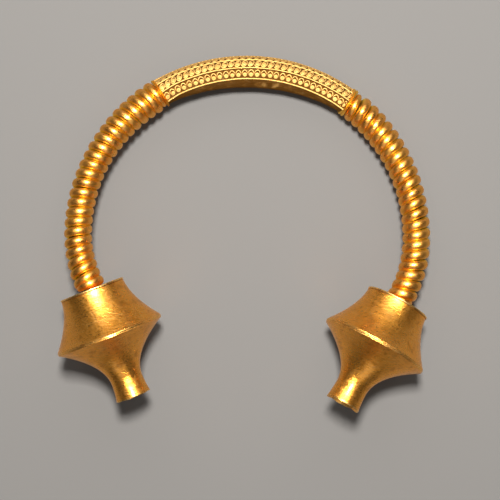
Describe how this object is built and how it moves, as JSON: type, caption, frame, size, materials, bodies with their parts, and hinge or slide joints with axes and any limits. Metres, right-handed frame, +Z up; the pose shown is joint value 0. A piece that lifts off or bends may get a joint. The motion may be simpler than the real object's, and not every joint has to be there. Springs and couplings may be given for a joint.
{
  "type": "torc",
  "caption": "Rigid open neck ring in gold: an ornamented bar in the middle, arms wound with thick wire, and flared double-cone terminals facing each other across the gap.",
  "frame": {"origin": "on the floor under the middle of the object's bounding box, as it lies loose with its ornamented face up", "axes": "+X from the left terminal to the right one, +Y towards the middle of the bar, +Z up, out of the side that shows"},
  "size_m": [0.2342, 0.2212, 0.0688],
  "materials": {
    "filigree_gold": "worn satin gold filigree",
    "wire_gold": "bright worn gold wire, darker and redder between the turns",
    "sheet_gold": "satin sheet gold with fine brushing and scratches"
  },
  "bodies": {
    "root": {"hoop": "filigree_gold", "collar_left": "wire_gold", "collar_right": "wire_gold", "winding_left": "wire_gold", "winding_right": "wire_gold", "closing_disc_left": "sheet_gold", "closing_disc_right": "sheet_gold", "terminal_left": "sheet_gold", "terminal_right": "sheet_gold"}
  },
  "joints": []
}
